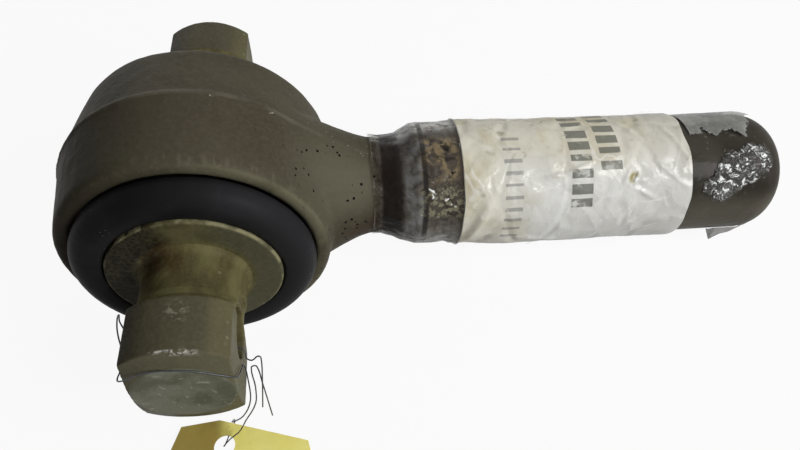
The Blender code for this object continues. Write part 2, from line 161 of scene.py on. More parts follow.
# Cap: radius, dome, where its skin starts along the rod, and radius of the pinhole at its tip
CAP_RADIUS = 0.0246
CAP_CORNER = 0.0140
CAP_STRAIGHT = 0.22495
CAP_SHOWN = 0.0985
CAP_TIP = 0.00005

# Paper: a line is length along the rod with the radius on the upper and on the lower side
LABEL_RADIUS = 0.0262
LABEL_LINE = [
    (0.1000, 0.0273, 0.0252),
    (0.1120, 0.0270, 0.0259),
    (0.1200, 0.0267, 0.0264),
    (0.1280, 0.0265, 0.0265),
    (0.1960, 0.0264, 0.0263),
]
LABEL_EARLY = 0.0028
LABEL_SHORT = 0.0012
LABEL_START_WAVE = ((0.0010, 1.6, 11),)
LABEL_END_WAVE = ((0.0014, 2.4, 12),)
LABEL_CREASE = 0.0008
LABEL_CREASES = ((1.0, 45, 13), (0.5, 120, 14))
LABEL_SINK = 0.0006
LABEL_LOWEST = -0.0014
LABEL_HIGHEST = 0.0008
LABEL_GAP = 0.0002

# Folds of the paper: length along the rod and turn in degrees at both ends, then height and width
FOLD_END = 0.08
LABEL_FOLDS = [
    (0.1025, 75, 0.1125, 8, 0.0009, 0.0022),
    (0.1040, 92, 0.1180, 34, -0.0007, 0.0020),
    (0.1060, 60, 0.1190, 50, 0.0006, 0.0012),
    (0.1280, 3, 0.1420, -4, 0.0005, 0.0009),
    (0.1400, -2, 0.1530, -13, 0.0006, 0.0008),
    (0.1500, 30, 0.1580, 16, 0.0005, 0.0009),
    (0.1650, -62, 0.1760, -26, 0.0006, 0.0013),
    (0.1700, 12, 0.1800, 24, 0.0006, 0.0011),
    (0.1640, 10, 0.1690, -6, 0.0005, 0.0010),
    (0.1690, 2, 0.1700, 3, -0.0016, 0.0020),
    (0.1780, -12, 0.1920, 14, 0.0005, 0.0011),
    (0.1840, -50, 0.1920, -12, 0.0006, 0.0013),
    (0.1750, 52, 0.1920, 34, 0.0005, 0.0014),
    (0.1080, -62, 0.1230, -42, 0.0006, 0.0013),
    (0.1250, 62, 0.1500, 74, 0.0005, 0.0016),
]

# Film: its line as for the paper, its ragged ends, and creases that are gathered up to the paper
FILM_LINE = [
    (0.0668, 0.0222, 0.0191),
    (0.0705, 0.0214, 0.0189),
    (0.0750, 0.0216, 0.0204),
    (0.0780, 0.0222, 0.0220),
    (0.0840, 0.0258, 0.0235),
    (0.0910, 0.0261, 0.0237),
    (0.0965, 0.0262, 0.0238),
    (0.1010, 0.0268, 0.0252),
    (0.1020, 0.0281, 0.0263),
    (0.1200, 0.0276, 0.0274),
    (0.1945, 0.0274, 0.0274),
    (0.1960, 0.0253, 0.0250),
    (0.2250, 0.0259, 0.0252),
    (0.2330, 0.0259, 0.0252),
]
FILM_SHORT = 0.005
FILM_START_WAVE = ((0.0008, 2.2, 21),)
FILM_END_WAVE = ((0.0045, 2.0, 22),)
FILM_RADIUS = 0.024
GATHER_STRETCH = 0.45
GATHER_END = 0.103
GATHER_EASE = 0.006
FILM_GATHERS = ((0.0005, 120, 23),)
FILM_LUMPS = ((0.0003, 260, 25),)
FILM_CREASES = ((0.0004, 75, 24),)

# Torn film under the cap: length along the rod and how far it hangs, and its turn round the rod
FRINGE_LINE = [
    (0.2150, 0.0002),
    (0.2162, 0.0050),
    (0.2185, 0.0040),
    (0.2215, 0.0030),
    (0.2250, 0.0024),
    (0.2300, 0.0012),
    (0.2340, 0.0001),
]
FRINGE_START = 79
FRINGE_END = 92
FRINGE_GAP = 0.0003
FRINGE_FLARE = 1.5
FRINGE_RIPPLE = ((0.0004, 160, 31),)

# Wire of the tag: route from the point of the bench below the eye's centre
WIRE_DIAMETER = 0.0005
WIRE_STEPS = 4
WIRE_ROUTE = [
    (0.0181, -0.0800, 0.0245),
    (0.0218, -0.0770, 0.0403),
    (0.0234, -0.0732, 0.0490),
    (0.0224, -0.0726, 0.0493),
    (0.0196, -0.0722, 0.0462),
    (0.0176, -0.0710, 0.0458),
    (0.0171, -0.0688, 0.0479),
    (0.0116, -0.0672, 0.0498),
    (-0.0003, -0.0665, 0.0518),
    (-0.0121, -0.0663, 0.0538),
    (-0.0177, -0.0660, 0.0566),
    (-0.0176, -0.0654, 0.0642),
    (-0.0168, -0.0654, 0.0711),
    (-0.0150, -0.0662, 0.0761),
    (-0.0166, -0.0678, 0.0727),
    (-0.0177, -0.0694, 0.0684),
    (-0.0170, -0.0735, 0.0656),
    (-0.0163, -0.0790, 0.0658),
    (-0.0160, -0.0842, 0.0678),
    (-0.0134, -0.0854, 0.0693),
    (-0.0072, -0.0854, 0.0719),
    (-0.0011, -0.0854, 0.0721),
    (0.0076, -0.0854, 0.0693),
    (0.0134, -0.0854, 0.0653),
    (0.0186, -0.0850, 0.0608),
    (0.0183, -0.0820, 0.0560),
    (0.0174, -0.0775, 0.0507),
    (0.0168, -0.0734, 0.0461),
    (0.0166, -0.0752, 0.0406),
    (0.0156, -0.0800, 0.0320),
    (0.0102, -0.0810, 0.0212),
    (0.0035, -0.0790, 0.0123),
    (0.0016, -0.0746, 0.0040),
    (0.0010, -0.0742, 0.0010),
    (-0.0002, -0.0766, 0.0005),
    (-0.0016, -0.0805, 0.0005),
    (-0.0025, -0.0832, 0.0009),
    (-0.0023, -0.0839, 0.0024),
    (0.0004, -0.0820, 0.0036),
    (0.0042, -0.0806, 0.0056),
    (0.0099, -0.0812, 0.0170),
    (0.0168, -0.0804, 0.0294),
    (0.0184, -0.0774, 0.0364),
    (0.0186, -0.0734, 0.0434),
    (0.0203, -0.0729, 0.0428),
    (0.0203, -0.0752, 0.0346),
    (0.0191, -0.0790, 0.0136),
]

# Marks: two numbers go from none to full, three are start, end and soft edge; a spot is a point instead

# Marks on the forging, across the eye, along the rod or round it in degrees; a stretch scales noise by axis
PARTING_BAND = (-0.0004, 0.001, 0.0008)
FLAKE_BAND = (-0.001, 0.003, 0.002)
DRIP_BAND = (-0.029, -0.0272, 0.0022)
DRIP_STRETCH = (520, 60, 520)
FRONT_FACE = (-0.0284, -0.0295)
WORN_SIDE = (-0.012, 0.03)
# Painted shade on the eye's left side: where it starts and where it is full, along the rod
EYE_SHADE_SIDE = (0.012, -0.04)
NEAR_FILM = (0.036, 0.066)
GRIME_TURN = (12.0, 55.0)
PIT_START = (0.028, 0.04)
PIT_TURN = (-10.0, 30.0)
# Painted highlight on the neck where it faces the camera: its run along the rod and its turn round it
NECK_HIGHLIGHT_RUN = (0.03, 0.055)
NECK_HIGHLIGHT_TURN = (-12.0, 8.0, 38.0)

# Marks on the pin, across the eye, along the rod or out from the pin's axis
STREAK_STRETCH = (110, 26, 110)
TANG_MARK = (0.0622, 0.0628)
# Painted shade on the tang's left, then a painted golden highlight on its right, along the rod
TANG_SHADE = (0.0, -0.012)
TANG_HIGHLIGHT = (0.008, 0.014)
END_CHAMFER = (-0.082, -0.0825)
END_FACE = (0.017, 0.0165)
WASHER_BAND = (-0.0415, -0.03, 0.0003)
WASHER_DISC = (0.0205, 0.0225)
WASHER_GREY = (0.004, 0.016)
# Painted shadow of the pin, with grime, on the washer's left side
WASHER_SHADOW_AND_GRIME = (0.008, -0.006)
LIP_BAND = (-0.0405, -0.033, 0.0004)
LIP_START = (0.0306, 0.0312)
CROWN_SPOT = (0.001, -0.0681, 0.0253)
CROWN_SPOT_EDGE = (0.0058, 0.0022)
EDGE_BAND = (-0.0824, -0.0816, 0.0005)
EDGE_START = (-0.007, -0.003)
EDGE_END = (0.009, 0.005)

# Rust on the pin: middle, share and colour of each patch
RUST_EDGE = (0.015, 0.005)
RUST_PATCHES = (
    ((-0.0098, -0.043, 0.0156), 0.85, (0.052, 0.028, 0.009)),
    ((-0.015, -0.04, 0.0107), 0.9, (0.02, 0.012, 0.005)),
)

# Marks on the rubber and the cap, along the rod or round it; the crumpled patch has a middle and half sizes
# Painted sheen on the rubber's side towards the shank, along the rod
RUBBER_SHEEN = (-0.02, 0.032)
MAUVE_BAND = (0.205, 0.226, 0.006)
CAP_UNDER = (14.0, 44.0)
CRUMPLE_ALONG = 0.214
CRUMPLE_LENGTH = 0.0125
CRUMPLE_TURN = 3.0
CRUMPLE_SPREAD = 20.0
CRUMPLE_LEAN = 0.45
CRUMPLE_RAGGED = 4.5

# Marks on the paper, and its rows of bars: start and end along the rod, then first and last turn round it
PAPER_UPPER = (12.0, -40.0)
PAPER_NEAR_EYE = (0.14, 0.104)
PAPER_GREY = (0.16, 0.186)
PAPER_SPOT = (0.1695, -0.0186, 0.0192)
PAPER_SPOT_EDGE = (0.0034, 0.0016)
BOLD_ROWS = ((0.144, 0.1525, -72, 31), (0.156, 0.1645, -78, -4))
BOLD_STEP = 12.9
BOLD_FILL = 0.66
THIN_ROW = (0.1175, 0.1245, -40, 66)
THIN_STEP = 10.6
THIN_FILL = 0.32
BAR_LEAST = 0.7
BAR_MOST = 1.1
BAR_EDGE = 0.06
ROW_END_SOFT = 0.5
ROW_SIDE_SOFT = 0.0002

# Marks on the film, along the rod or round it in degrees
FILM_RIM = (0.066, 0.0672, 0.0004)
FILM_THICKENS = (0.0675, 0.0712)
# Dark grease and painted shade in the groove by the thread relief
GROOVE_BAND = (0.0712, 0.0772, 0.0018)
GLOSS_BAND = (0.078, 0.101, 0.003)
# Hazy film on the ridge, partly a painted highlight
HAZE_BAND = (0.08, 0.085, 0.002)
# Painted shadow line where the film passes over the cap's edge
SEAM_BAND = (0.086, 0.0872, 0.0008)
PALE_BAND = (0.088, 0.1, 0.004)
PALE_UPPER = (-42, -62)
PALE_LOWER = (30, 50)
# Painted sheen on the film's upper back side, round the rod
SHEEN_TURN = (-92, -66, 18)
TAN_BAND = (0.0875, 0.0985, 0.003)
TAN_TURN = (-38, -8, 10)
MOSS_BAND = (0.087, 0.1005, 0.004)
MOSS_TURN = (6, 28, 8)
CRACK_BAND = (0.087, 0.101, 0.002)
GREASE_EDGE = (0.0985, 0.1008)
GREASE_END = (0.1016, 0.101)
FLAP_START = (0.196, 0.197)
FLAP_TURN = -38.0
FLAP_WANDER = 46.0
FLAP_SOFT = 1.5
FLAP_TAPER = (0.217, 0.234)
FLAP_TAPER_TURN = -42.0

# Painted shade on the card's left side: the direction across it, and where the shade starts and is full
CARD_SIDE = Vector((0.98, 0.2, 0.0))
CARD_SHADE = (-0.0115, -0.0195)

# Roughness of all noise in the finishes
NOISE_ROUGHNESS = 0.55


# Helpers for shapes

def triples(items, key):
    """Three numbers of each item of a mesh, as rows."""
    flat = np.zeros(len(items) * 3)
    items.foreach_get(key, flat)
    return flat.reshape(-1, 3)


def points_of(mesh):
    return triples(mesh.vertices, "co")


def set_points(mesh, points):
    mesh.vertices.foreach_set("co", np.ascontiguousarray(points, dtype=np.float32).ravel())
    mesh.update()


def into(matrix, points):
    """Points of the world, as the given frame sees them."""
    turn = np.array(matrix.inverted())
    return points @ turn[:3, :3].T + turn[:3, 3]


def out_of(matrix, points):
    """Points of the given frame, in the world."""
    turn = np.array(matrix)
    return points @ turn[:3, :3].T + turn[:3, 3]


def ramp(values, start, length):
    """0 up to start, then rising evenly to 1 over the length."""
    return np.clip((values - start) / length, 0, 1)


def eased(share):
    return share * share * (3 - 2 * share)


def round_rod(x, radius, angles):
    """Points at lengths along the rod, radii and angles round it."""
    return np.stack([x, radius * np.cos(angles), radius * np.sin(angles)], 1)


def new_object(name, data):
    made = bpy.data.objects.new(name, data)
    bpy.context.scene.collection.objects.link(made)
    return made


def link(name, data, body):
    made = new_object(name, data)
    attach(made, body)
    return made


def noise_of(points, scale, seed):
    """Smooth noise from -1 to 1 at each point, with features about 1 / scale metres across."""
    shift = Vector((seed * 7.31, seed * 3.17, seed * 5.77))
    return np.array([noise.noise(Vector(point) * scale + shift) for point in points])


def lumps_at(points, lumps):
    """Sum of noises, each given as height, scale and seed."""
    return sum(height * noise_of(points, scale, seed) for height, scale, seed in lumps)


def lump_points(piece, move):
    """Moves a piece's points along their normals."""
    outward = triples(piece.data.vertex_normals, "vector")
    set_points(piece.data, points_of(piece.data) + outward * move[:, None])


def rounded(points, facets, start_axis, turn_axis):
    """Moves points of a faceted turned surface out to the circle that its facets stand for."""
    first = points[:, start_axis]
    second = points[:, turn_axis]
    step = 2 * math.pi / facets
    off_middle = np.mod(np.arctan2(second, first), step) - step / 2
    grow = np.cos(off_middle) / math.cos(step / 2)
    moved = points.copy()
    moved[:, start_axis] *= grow
    moved[:, turn_axis] *= grow
    return moved


def refined(node, name, body, voxel, steps):
    """Copy of a CAD node with an even fine mesh and softened edges, on a body or on none."""
    raw = frame["nodes"][node].data.copy()
    made = new_object(name, raw)
    weld = made.modifiers.new("weld", "WELD")
    weld.merge_threshold = WELD_DISTANCE
    remesh = made.modifiers.new("remesh", "REMESH")
    remesh.mode = "VOXEL"
    remesh.voxel_size = voxel
    soften = made.modifiers.new("soften", "SMOOTH")
    soften.factor = SOFTEN_FACTOR
    soften.iterations = steps
    evaluated = made.evaluated_get(bpy.context.evaluated_depsgraph_get())
    mesh = bpy.data.meshes.new_from_object(evaluated)
    made.modifiers.clear()
    made.data = mesh
    bpy.data.meshes.remove(raw)
    mesh.materials.clear()
    mesh.shade_smooth()
    if body:
        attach(made, body)
    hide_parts(node)
    return made


def grid_mesh(name, points, rows, columns, closed):
    """Smooth mesh of rows of points; a closed one joins its last column to its first."""
    faces = []
    for row in range(rows - 1):
        near = row * columns
        far = near + columns
        for column in range(columns if closed else columns - 1):
            after = (column + 1) % columns
            faces.append((near + column, near + after, far + after, far + column))
    mesh = bpy.data.meshes.new(name)
    mesh.from_pydata(points.tolist(), [], faces)
    mesh.shade_smooth()
    return mesh


def grid_skin(name, grid, place):
    """Piece closed round the rod; place(row share, angle) gives x, y, z in the rod frame."""
    rows, columns = grid
    shares = np.repeat(np.linspace(0, 1, rows), columns)
    angles = np.tile(np.linspace(0, 2 * math.pi, columns, endpoint=False), rows)
    points = out_of(ROD, place(shares, angles))
    points[:, 2] = np.maximum(points[:, 2], BENCH_GAP)
    return link(name, grid_mesh(name, points, rows, columns, True), "rod_end")


def ends_along(node):
    """Where a node starts and ends along the rod, to a hundredth of a millimetre."""
    x = np.round(into(ROD, points_of(frame["nodes"][node].data))[:, 0], 5)
    return x.min(), x.max()


def smooth_route(points, steps):
    """Route through listed points, with steps between each two and smooth turns."""
    corners = [np.array(point) for point in points]
    ends = [2 * corners[0] - corners[1], *corners, 2 * corners[-1] - corners[-2]]
    path = []
    for before, here, there, beyond in zip(ends, ends[1:], ends[2:], ends[3:]):
        reach = np.linalg.norm(there - here) / 3
        lead = here + (there - before) / np.linalg.norm(there - before) * reach
        trail = there - (beyond - here) / np.linalg.norm(beyond - here) * reach
        for step in range(steps):
            u = step / steps
            v = 1 - u
            path.append(v**3 * here + 3 * v * v * u * lead + 3 * v * u * u * trail + u**3 * there)
    return path + [corners[-1]]


# Helpers for finishes

class Nodes:
    """Short calls that add nodes to a tree."""

    def __init__(self, tree):
        self.tree = tree

    def node(self, kind, inputs=None, **settings):
        made = self.tree.nodes.new(kind)
        for key, value in settings.items():
            setattr(made, key, value)
        for key, value in (inputs or {}).items():
            self.feed(made.inputs[key], value)
        return made

    def feed(self, socket, value):
        if isinstance(value, bpy.types.NodeSocket):
            self.tree.links.new(value, socket)
        else:
            socket.default_value = value

    def math(self, operation, first, second=0.0):
        return self.node("ShaderNodeMath", {0: first, 1: second}, operation=operation).outputs[0]

    def larger(self, first, second):
        return self.math("MAXIMUM", first, second)

    def times(self, first, *others):
        for other in others:
            first = self.math("MULTIPLY", first, other)
        return first

    def range(self, share, low, high):
        inputs = {"Value": share, "To Min": low, "To Max": high}
        return self.node("ShaderNodeMapRange", inputs).outputs["Result"]

    def seen(self):
        """1 for camera, glossy and transmission rays."""
        path = self.node("ShaderNodeLightPath").outputs
        first = self.larger(path["Is Camera Ray"], path["Is Glossy Ray"])
        return self.larger(first, path["Is Transmission Ray"])


class Finish(Nodes):
    """A Principled material, the colour laid on it so far, and calls for the nodes that feed it."""

    def __init__(self, name):
        self.material = bpy.data.materials.new(name)
        self.material.use_nodes = True
        super().__init__(self.material.node_tree)
        self.shader = self.tree.nodes["Principled BSDF"]
        self.place = self.node("ShaderNodeTexCoord").outputs["Object"]
        self.colour = None

    def set(self, socket, value):
        self.feed(self.shader.inputs[socket], value)

    def ground(self, share, first, second):
        """Sets the colour to a mix of two."""
        self.colour = self.mix(share, first, second)

    def lay(self, colour, *shares):
        """Lays a colour over what is there, by the product of the shares."""
        self.colour = self.mix(self.times(*shares), self.colour, colour)

    def surface(self, scale, smooth, rough, specular=0.5):
        """Sets the colour laid so far, a roughness that varies by noise, and the specular level."""
        self.set("Base Color", self.colour)
        self.set("Roughness", self.range(self.noise(scale), smooth, rough))
        self.set("Specular IOR Level", specular)

    def noise(self, scale, detail=4.0, distortion=0.0, place=None):
        inputs = {
            "Vector": place or self.place,
            "Scale": scale,
            "Detail": detail,
            "Roughness": NOISE_ROUGHNESS,
            "Distortion": distortion,
        }
        return self.node("ShaderNodeTexNoise", inputs).outputs["Fac"]

    def patches(self, low, high, scale, detail=4.0, distortion=0.0):
        """Soft patches: 0 where noise is at low, 1 where it is at high."""
        return self.between(self.noise(scale, detail, distortion), low, high)

    def cells(self, scale, feature="F1"):
        """Distance from the middles of random cells, or from another feature of theirs."""
        inputs = {"Vector": self.place, "Scale": scale}
        return self.node("ShaderNodeTexVoronoi", inputs, feature=feature).outputs["Distance"]

    def plus(self, first, second):
        return self.math("ADD", first, second)

    def minus(self, first, second):
        return self.math("SUBTRACT", first, second)

    def between(self, value, low, high):
        """0 at low, 1 at high, eased; low may be above high."""
        inputs = {"Value": value, "From Min": low, "From Max": high, "To Min": 0.0, "To Max": 1.0}
        made = self.node("ShaderNodeMapRange", inputs, interpolation_type="SMOOTHSTEP")
        return made.outputs["Result"]

    def ragged(self, value, low, high, wander, scale, detail=4.0):
        """As between, at an edge that noise moves by up to wander."""
        return self.between(self.plus(value, self.times(self.noise(scale, detail), wander)), low, high)

    def band(self, value, low, high, soft):
        """1 from low to high, falling to 0 within soft outside."""
        rise = self.between(value, low - soft, low)
        fall = self.between(value, high + soft, high)
        return self.times(rise, fall)

    def at(self, value, place):
        """Share of a mark: a place of two numbers is as for between, one of three as for band."""
        return self.between(value, *place) if len(place) == 2 else self.band(value, *place)

    def mix(self, share, first, second):
        made = self.node("ShaderNodeMix", data_type="RGBA")
        self.feed(made.inputs["Factor"], share)
        for socket, value in ((made.inputs[6], first), (made.inputs[7], second)):
            self.feed(socket, value if isinstance(value, bpy.types.NodeSocket) else (*value, 1.0))
        return made.outputs[2]

    def vector(self, operation, first, second):
        return self.node("ShaderNodeVectorMath", {0: first, 1: second}, operation=operation).outputs

    def away(self, point):
        """Distance from a point of the rod frame."""
        return self.vector("DISTANCE", self.place, ROD @ Vector(point))["Value"]

    def reach(self, first, second):
        """Length of the side opposite the right angle."""
        return self.math("SQRT", self.plus(self.times(first, first), self.times(second, second)))

    def stretched(self, factors, detail):
        """Noise with a scale for each axis."""
        place = self.vector("MULTIPLY", self.place, factors)["Vector"]
        return self.noise(1, detail, place=place)

    def around(self):
        """Turn round the rod in degrees: 0 faces the camera, 90 is the way down from there."""
        turn = self.math("ARCTAN2", self.along(ROD_DOWN), self.along(ROD_FACING))
        return self.times(turn, math.degrees(1.0))

    def bars(self, along, around, row, step, fill):
        """Row of plain bars between two lengths along the rod, repeated round it every step degrees."""
        low, high, first, last = row
        turn = self.math("DIVIDE", self.minus(around, first), step)
        phase = self.math("FRACT", turn)
        draw = self.node("ShaderNodeTexWhiteNoise", {"W": self.math("FLOOR", turn)}, noise_dimensions="1D")
        width = self.range(draw.outputs["Value"], BAR_LEAST * fill, BAR_MOST * fill)
        excess = self.minus(phase, width)
        marks = self.times(self.between(phase, 0.0, BAR_EDGE), self.between(excess, BAR_EDGE, 0.0))
        start = self.between(around, first - ROW_END_SOFT, first)
        stop = self.between(around, last + ROW_END_SOFT, last)
        return self.times(marks, self.times(start, stop), self.band(along, low, high, ROW_SIDE_SOFT))

    def along(self, axis):
        """Distance from the eye's centre along an axis."""
        shifted = self.vector("SUBTRACT", self.place, EYE)["Vector"]
        return self.vector("DOT_PRODUCT", shifted, axis)["Value"]

    def bump(self, height, distance, under=None):
        inputs = {"Strength": 1.0, "Distance": distance, "Height": height}
        if under:
            inputs["Normal"] = under
        return self.node("ShaderNodeBump", inputs).outputs["Normal"]


def dress(piece, finish):
    piece.data.materials.clear()
    piece.data.materials.append(finish.material)


# Finishes

def eye_marks(made, along, across):
    """Rubbed parting line, flakes, drips at the front rim, worn front face, and painted shade on the left
    side.
    """
    made.lay((0.15, 0.14, 0.105), made.at(across, PARTING_BAND), made.patches(0.4, 0.62, 70), 0.35)
    made.lay((0.34, 0.34, 0.28), made.at(across, FLAKE_BAND), made.patches(0.67, 0.71, 520, 3), 0.7)
    drips = made.between(made.stretched(DRIP_STRETCH, 3), 0.54, 0.68)
    made.lay((0.16, 0.15, 0.1), drips, made.at(across, DRIP_BAND), 0.2)
    face = made.times(made.at(across, FRONT_FACE), made.patches(0.25, 0.6, 55))
    made.lay((0.13, 0.122, 0.078), face, made.at(along, WORN_SIDE), 0.75)
    # painted shade: the eye's left side is darkened in the colour
    made.lay((0.01, 0.007, 0.005), made.ragged(along, *EYE_SHADE_SIDE, 0.016, 30, 3), 0.8)


def neck_pits(made, along, near_film):
    """Share of the pits, which crowd on the lower side by the film."""
    pits = made.times(made.between(made.cells(340), 0.21, 0.14), made.at(along, PIT_START))
    crowd = made.times(near_film, made.range(made.at(made.around(), PIT_TURN), 0.02, 0.16))
    return made.times(pits, made.between(made.plus(made.noise(85, 2), crowd), 0.535, 0.555))


def olive_paint():
    """Old olive paint on a forging: mottled, rubbed on the parting line and rim, pitted on the neck, with a
    painted highlight on the neck and painted shade on the eye's left.
    """
    made = Finish("olive_forging")
    along = made.along(ROD_X)
    made.ground(made.patches(0.35, 0.65, 22, 3), (0.046, 0.04, 0.026), (0.068, 0.061, 0.04))
    made.lay((0.05, 0.037, 0.028), made.patches(0.5, 0.68, 13, 2, 0.4), 0.5)
    made.lay((0.096, 0.088, 0.06), made.patches(0.3, 0.75, 650, 3), 0.3)
    eye_marks(made, along, made.along(ROD_Y))
    near_film = made.at(along, NEAR_FILM)
    lower = made.at(made.around(), GRIME_TURN)
    grime = made.times(near_film, lower, made.patches(0.32, 0.56, 120))
    made.lay((0.04, 0.028, 0.02), grime, 0.75)
    # painted highlight: lighter paint where the neck faces the camera
    neck_highlight = made.at(made.around(), NECK_HIGHLIGHT_TURN)
    made.lay((0.115, 0.105, 0.074), made.at(along, NECK_HIGHLIGHT_RUN), neck_highlight, 0.45)
    pits = neck_pits(made, along, near_film)
    made.lay((0.004, 0.003, 0.003), pits)
    made.surface(90, 0.44, 0.62, 0.03)
    coarse = made.bump(made.noise(150), 0.0005)
    grain = made.bump(made.noise(1300, 3), 0.00007, coarse)
    made.set("Normal", made.bump(pits, -0.0005, grain))
    return made


def tang_marks(made, along, across, reach):
    """Duller tangs with painted shade on the left and a painted golden highlight on the right, and a nicked
    grey end face in front.
    """
    tang = made.at(made.math("ABSOLUTE", across), TANG_MARK)
    dull = made.mix(made.noise(60), (0.042, 0.036, 0.024), (0.08, 0.072, 0.049))
    made.lay(dull, tang, 0.85)
    # painted shade on the tang's left side
    made.lay((0.018, 0.014, 0.01), tang, made.ragged(along, *TANG_SHADE, 0.008, 70), 0.65)
    # painted highlight: a golden tone on the tang's right side
    golden_highlight = made.times(made.at(along, TANG_HIGHLIGHT), made.noise(50, 3))
    made.lay((0.105, 0.097, 0.046), tang, golden_highlight)
    chamfer = made.at(across, END_CHAMFER)
    made.lay((0.1, 0.094, 0.06), chamfer, 0.8)
    end = made.times(chamfer, made.at(reach, END_FACE))
    face = made.mix(made.patches(0.38, 0.62, 75, 5), (0.1, 0.103, 0.074), (0.175, 0.18, 0.142))
    made.lay(face, end)
    made.lay((0.34, 0.35, 0.29), end, made.patches(0.61, 0.69, 260, 4, 1.0), 0.6)


def washer_marks(made, along, across, reach):
    """Rust by the front washer, and the washer's grey face, its left side darkened by painted shadow and
    grime, and its rubbed lip.
    """
    patchy = made.patches(0.28, 0.58, 110)
    for point, share, colour in RUST_PATCHES:
        rust = made.times(made.at(made.away(point), RUST_EDGE), patchy)
        made.lay(colour, rust, share)
    disc = made.times(made.at(across, WASHER_BAND), made.at(reach, WASHER_DISC))
    grey = made.mix(made.noise(80), (0.053, 0.051, 0.029), (0.082, 0.078, 0.048))
    made.lay(grey, disc, made.range(made.at(along, WASHER_GREY), 0.25, 0.95))
    # painted shadow of the pin, with some grime, darkens the washer's left side
    made.lay((0.006, 0.004, 0.002), disc, made.ragged(along, *WASHER_SHADOW_AND_GRIME, 0.016, 60), 0.96)
    lip = made.times(made.at(across, LIP_BAND), made.at(reach, LIP_START))
    made.lay((0.2, 0.185, 0.105), lip, made.patches(0.42, 0.58, 120))


def rubbed_marks(made, along, across):
    """Paint rubbed off on the front crown, along the chamfer and on sharp edges."""
    rubbed = made.patches(0.46, 0.66, 480, 5, 0.8)
    crown = made.times(made.at(made.away(CROWN_SPOT), CROWN_SPOT_EDGE), rubbed)
    made.lay((0.36, 0.34, 0.27), crown, 0.42)
    edge = made.times(made.at(across, EDGE_BAND), made.at(along, EDGE_START))
    made.lay((0.46, 0.45, 0.4), edge, made.at(along, EDGE_END), rubbed)
    made.lay((0.15, 0.138, 0.085), made.patches(0.3, 0.75, 800, 3), 0.2)
    edges = made.between(made.node("ShaderNodeNewGeometry").outputs["Pointiness"], 0.52, 0.58)
    made.lay((0.26, 0.25, 0.17), edges, made.patches(0.45, 0.65, 150), 0.4)


def pin_paint():
    """Yellower olive on the pin, rubbed white at the chamfer, with a rust-brown patch by the washer."""
    made = Finish("olive_pin")
    along = made.along(ROD_X)
    across = made.along(ROD_Y)
    reach = made.reach(along, made.along(ROD_Z))
    streak = made.between(made.stretched(STREAK_STRETCH, 4), 0.36, 0.62)
    made.ground(streak, (0.064, 0.054, 0.022), (0.116, 0.105, 0.044))
    tang_marks(made, along, across, reach)
    washer_marks(made, along, across, reach)
    rubbed_marks(made, along, across)
    made.surface(120, 0.36, 0.58, 0.03)
    made.set("Normal", made.bump(made.noise(260), 0.0003))
    return made


def black_rubber():
    """Black moulded rubber, lighter grey towards the shank as a painted sheen, with a few pale specks."""
    made = Finish("moulded_rubber")
    made.ground(made.patches(0.45, 0.75, 60), (0.007, 0.0064, 0.0066), (0.0125, 0.012, 0.013))
    # painted sheen: lighter grey on the side towards the shank
    made.lay((0.024, 0.024, 0.026), made.at(made.along(ROD_X), RUBBER_SHEEN), 0.55)
    specks = made.between(made.cells(520), 0.14, 0.08)
    made.lay((0.1, 0.1, 0.085), specks, made.patches(0.58, 0.64, 40, 2))
    made.surface(80, 0.4, 0.55, 0.025)
    made.set("Normal", made.bump(made.noise(420, 3), 0.00009))
    return made


def plain_steel():
    """Dark oiled steel of the sleeves and snap rings."""
    made = Finish("plain_steel")
    made.ground(made.noise(90), (0.03, 0.029, 0.027), (0.06, 0.058, 0.054))
    made.surface(200, 0.28, 0.5)
    made.set("Metallic", 1.0)
    return made


def crumple(made, along, around):
    """Share of the patch of the cap where the film over it is crumpled, with a ragged edge."""
    shift = made.minus(made.noise(75), 0.5)
    reach = made.math("DIVIDE", made.minus(along, CRUMPLE_ALONG), CRUMPLE_LENGTH)
    turn = made.math("DIVIDE", made.minus(around, CRUMPLE_TURN), CRUMPLE_SPREAD)
    lean = made.plus(turn, made.times(reach, CRUMPLE_LEAN))
    gap = made.plus(made.times(reach, reach), made.times(lean, lean))
    return made.between(made.plus(gap, made.times(shift, CRUMPLE_RAGGED)), 1.25, 0.7)


def brown_cap():
    """Dark brown moulded cap under tight glossy film, with painted glints on its crumpled patch."""
    made = Finish("brown_cap")
    along = made.along(ROD_X)
    around = made.around()
    made.ground(made.patches(0.36, 0.64, 30), (0.018, 0.015, 0.011), (0.042, 0.038, 0.029))
    mauve = made.times(made.patches(0.48, 0.62, 45, 3), made.at(along, MAUVE_BAND))
    made.lay((0.06, 0.044, 0.044), mauve, 0.6)
    made.lay((0.092, 0.085, 0.064), made.at(around, CAP_UNDER), 0.6)
    patch = crumple(made, along, around)
    sharp_noise = made.noise(360, 5, 1.6)
    # crinkled film haze, partly painted glints, on the crumpled patch
    haze_and_glints = made.times(patch, made.between(sharp_noise, 0.46, 0.58))
    made.lay((0.32, 0.33, 0.32), haze_and_glints, 0.65)
    # painted glints: white flecks on the crumpled patch
    made.lay((0.86, 0.88, 0.87), patch, made.between(sharp_noise, 0.565, 0.61))
    made.surface(120, 0.42, 0.58, 0.05)
    soft = made.bump(made.noise(130), 0.0003)
    sharp = made.bump(made.times(sharp_noise, patch), 0.0024, soft)
    made.set("Normal", sharp)
    made.set("Coat Weight", made.range(patch, 0.03, 0.6))
    made.set("Coat Roughness", 0.12)
    made.set("Coat Normal", sharp)
    return made


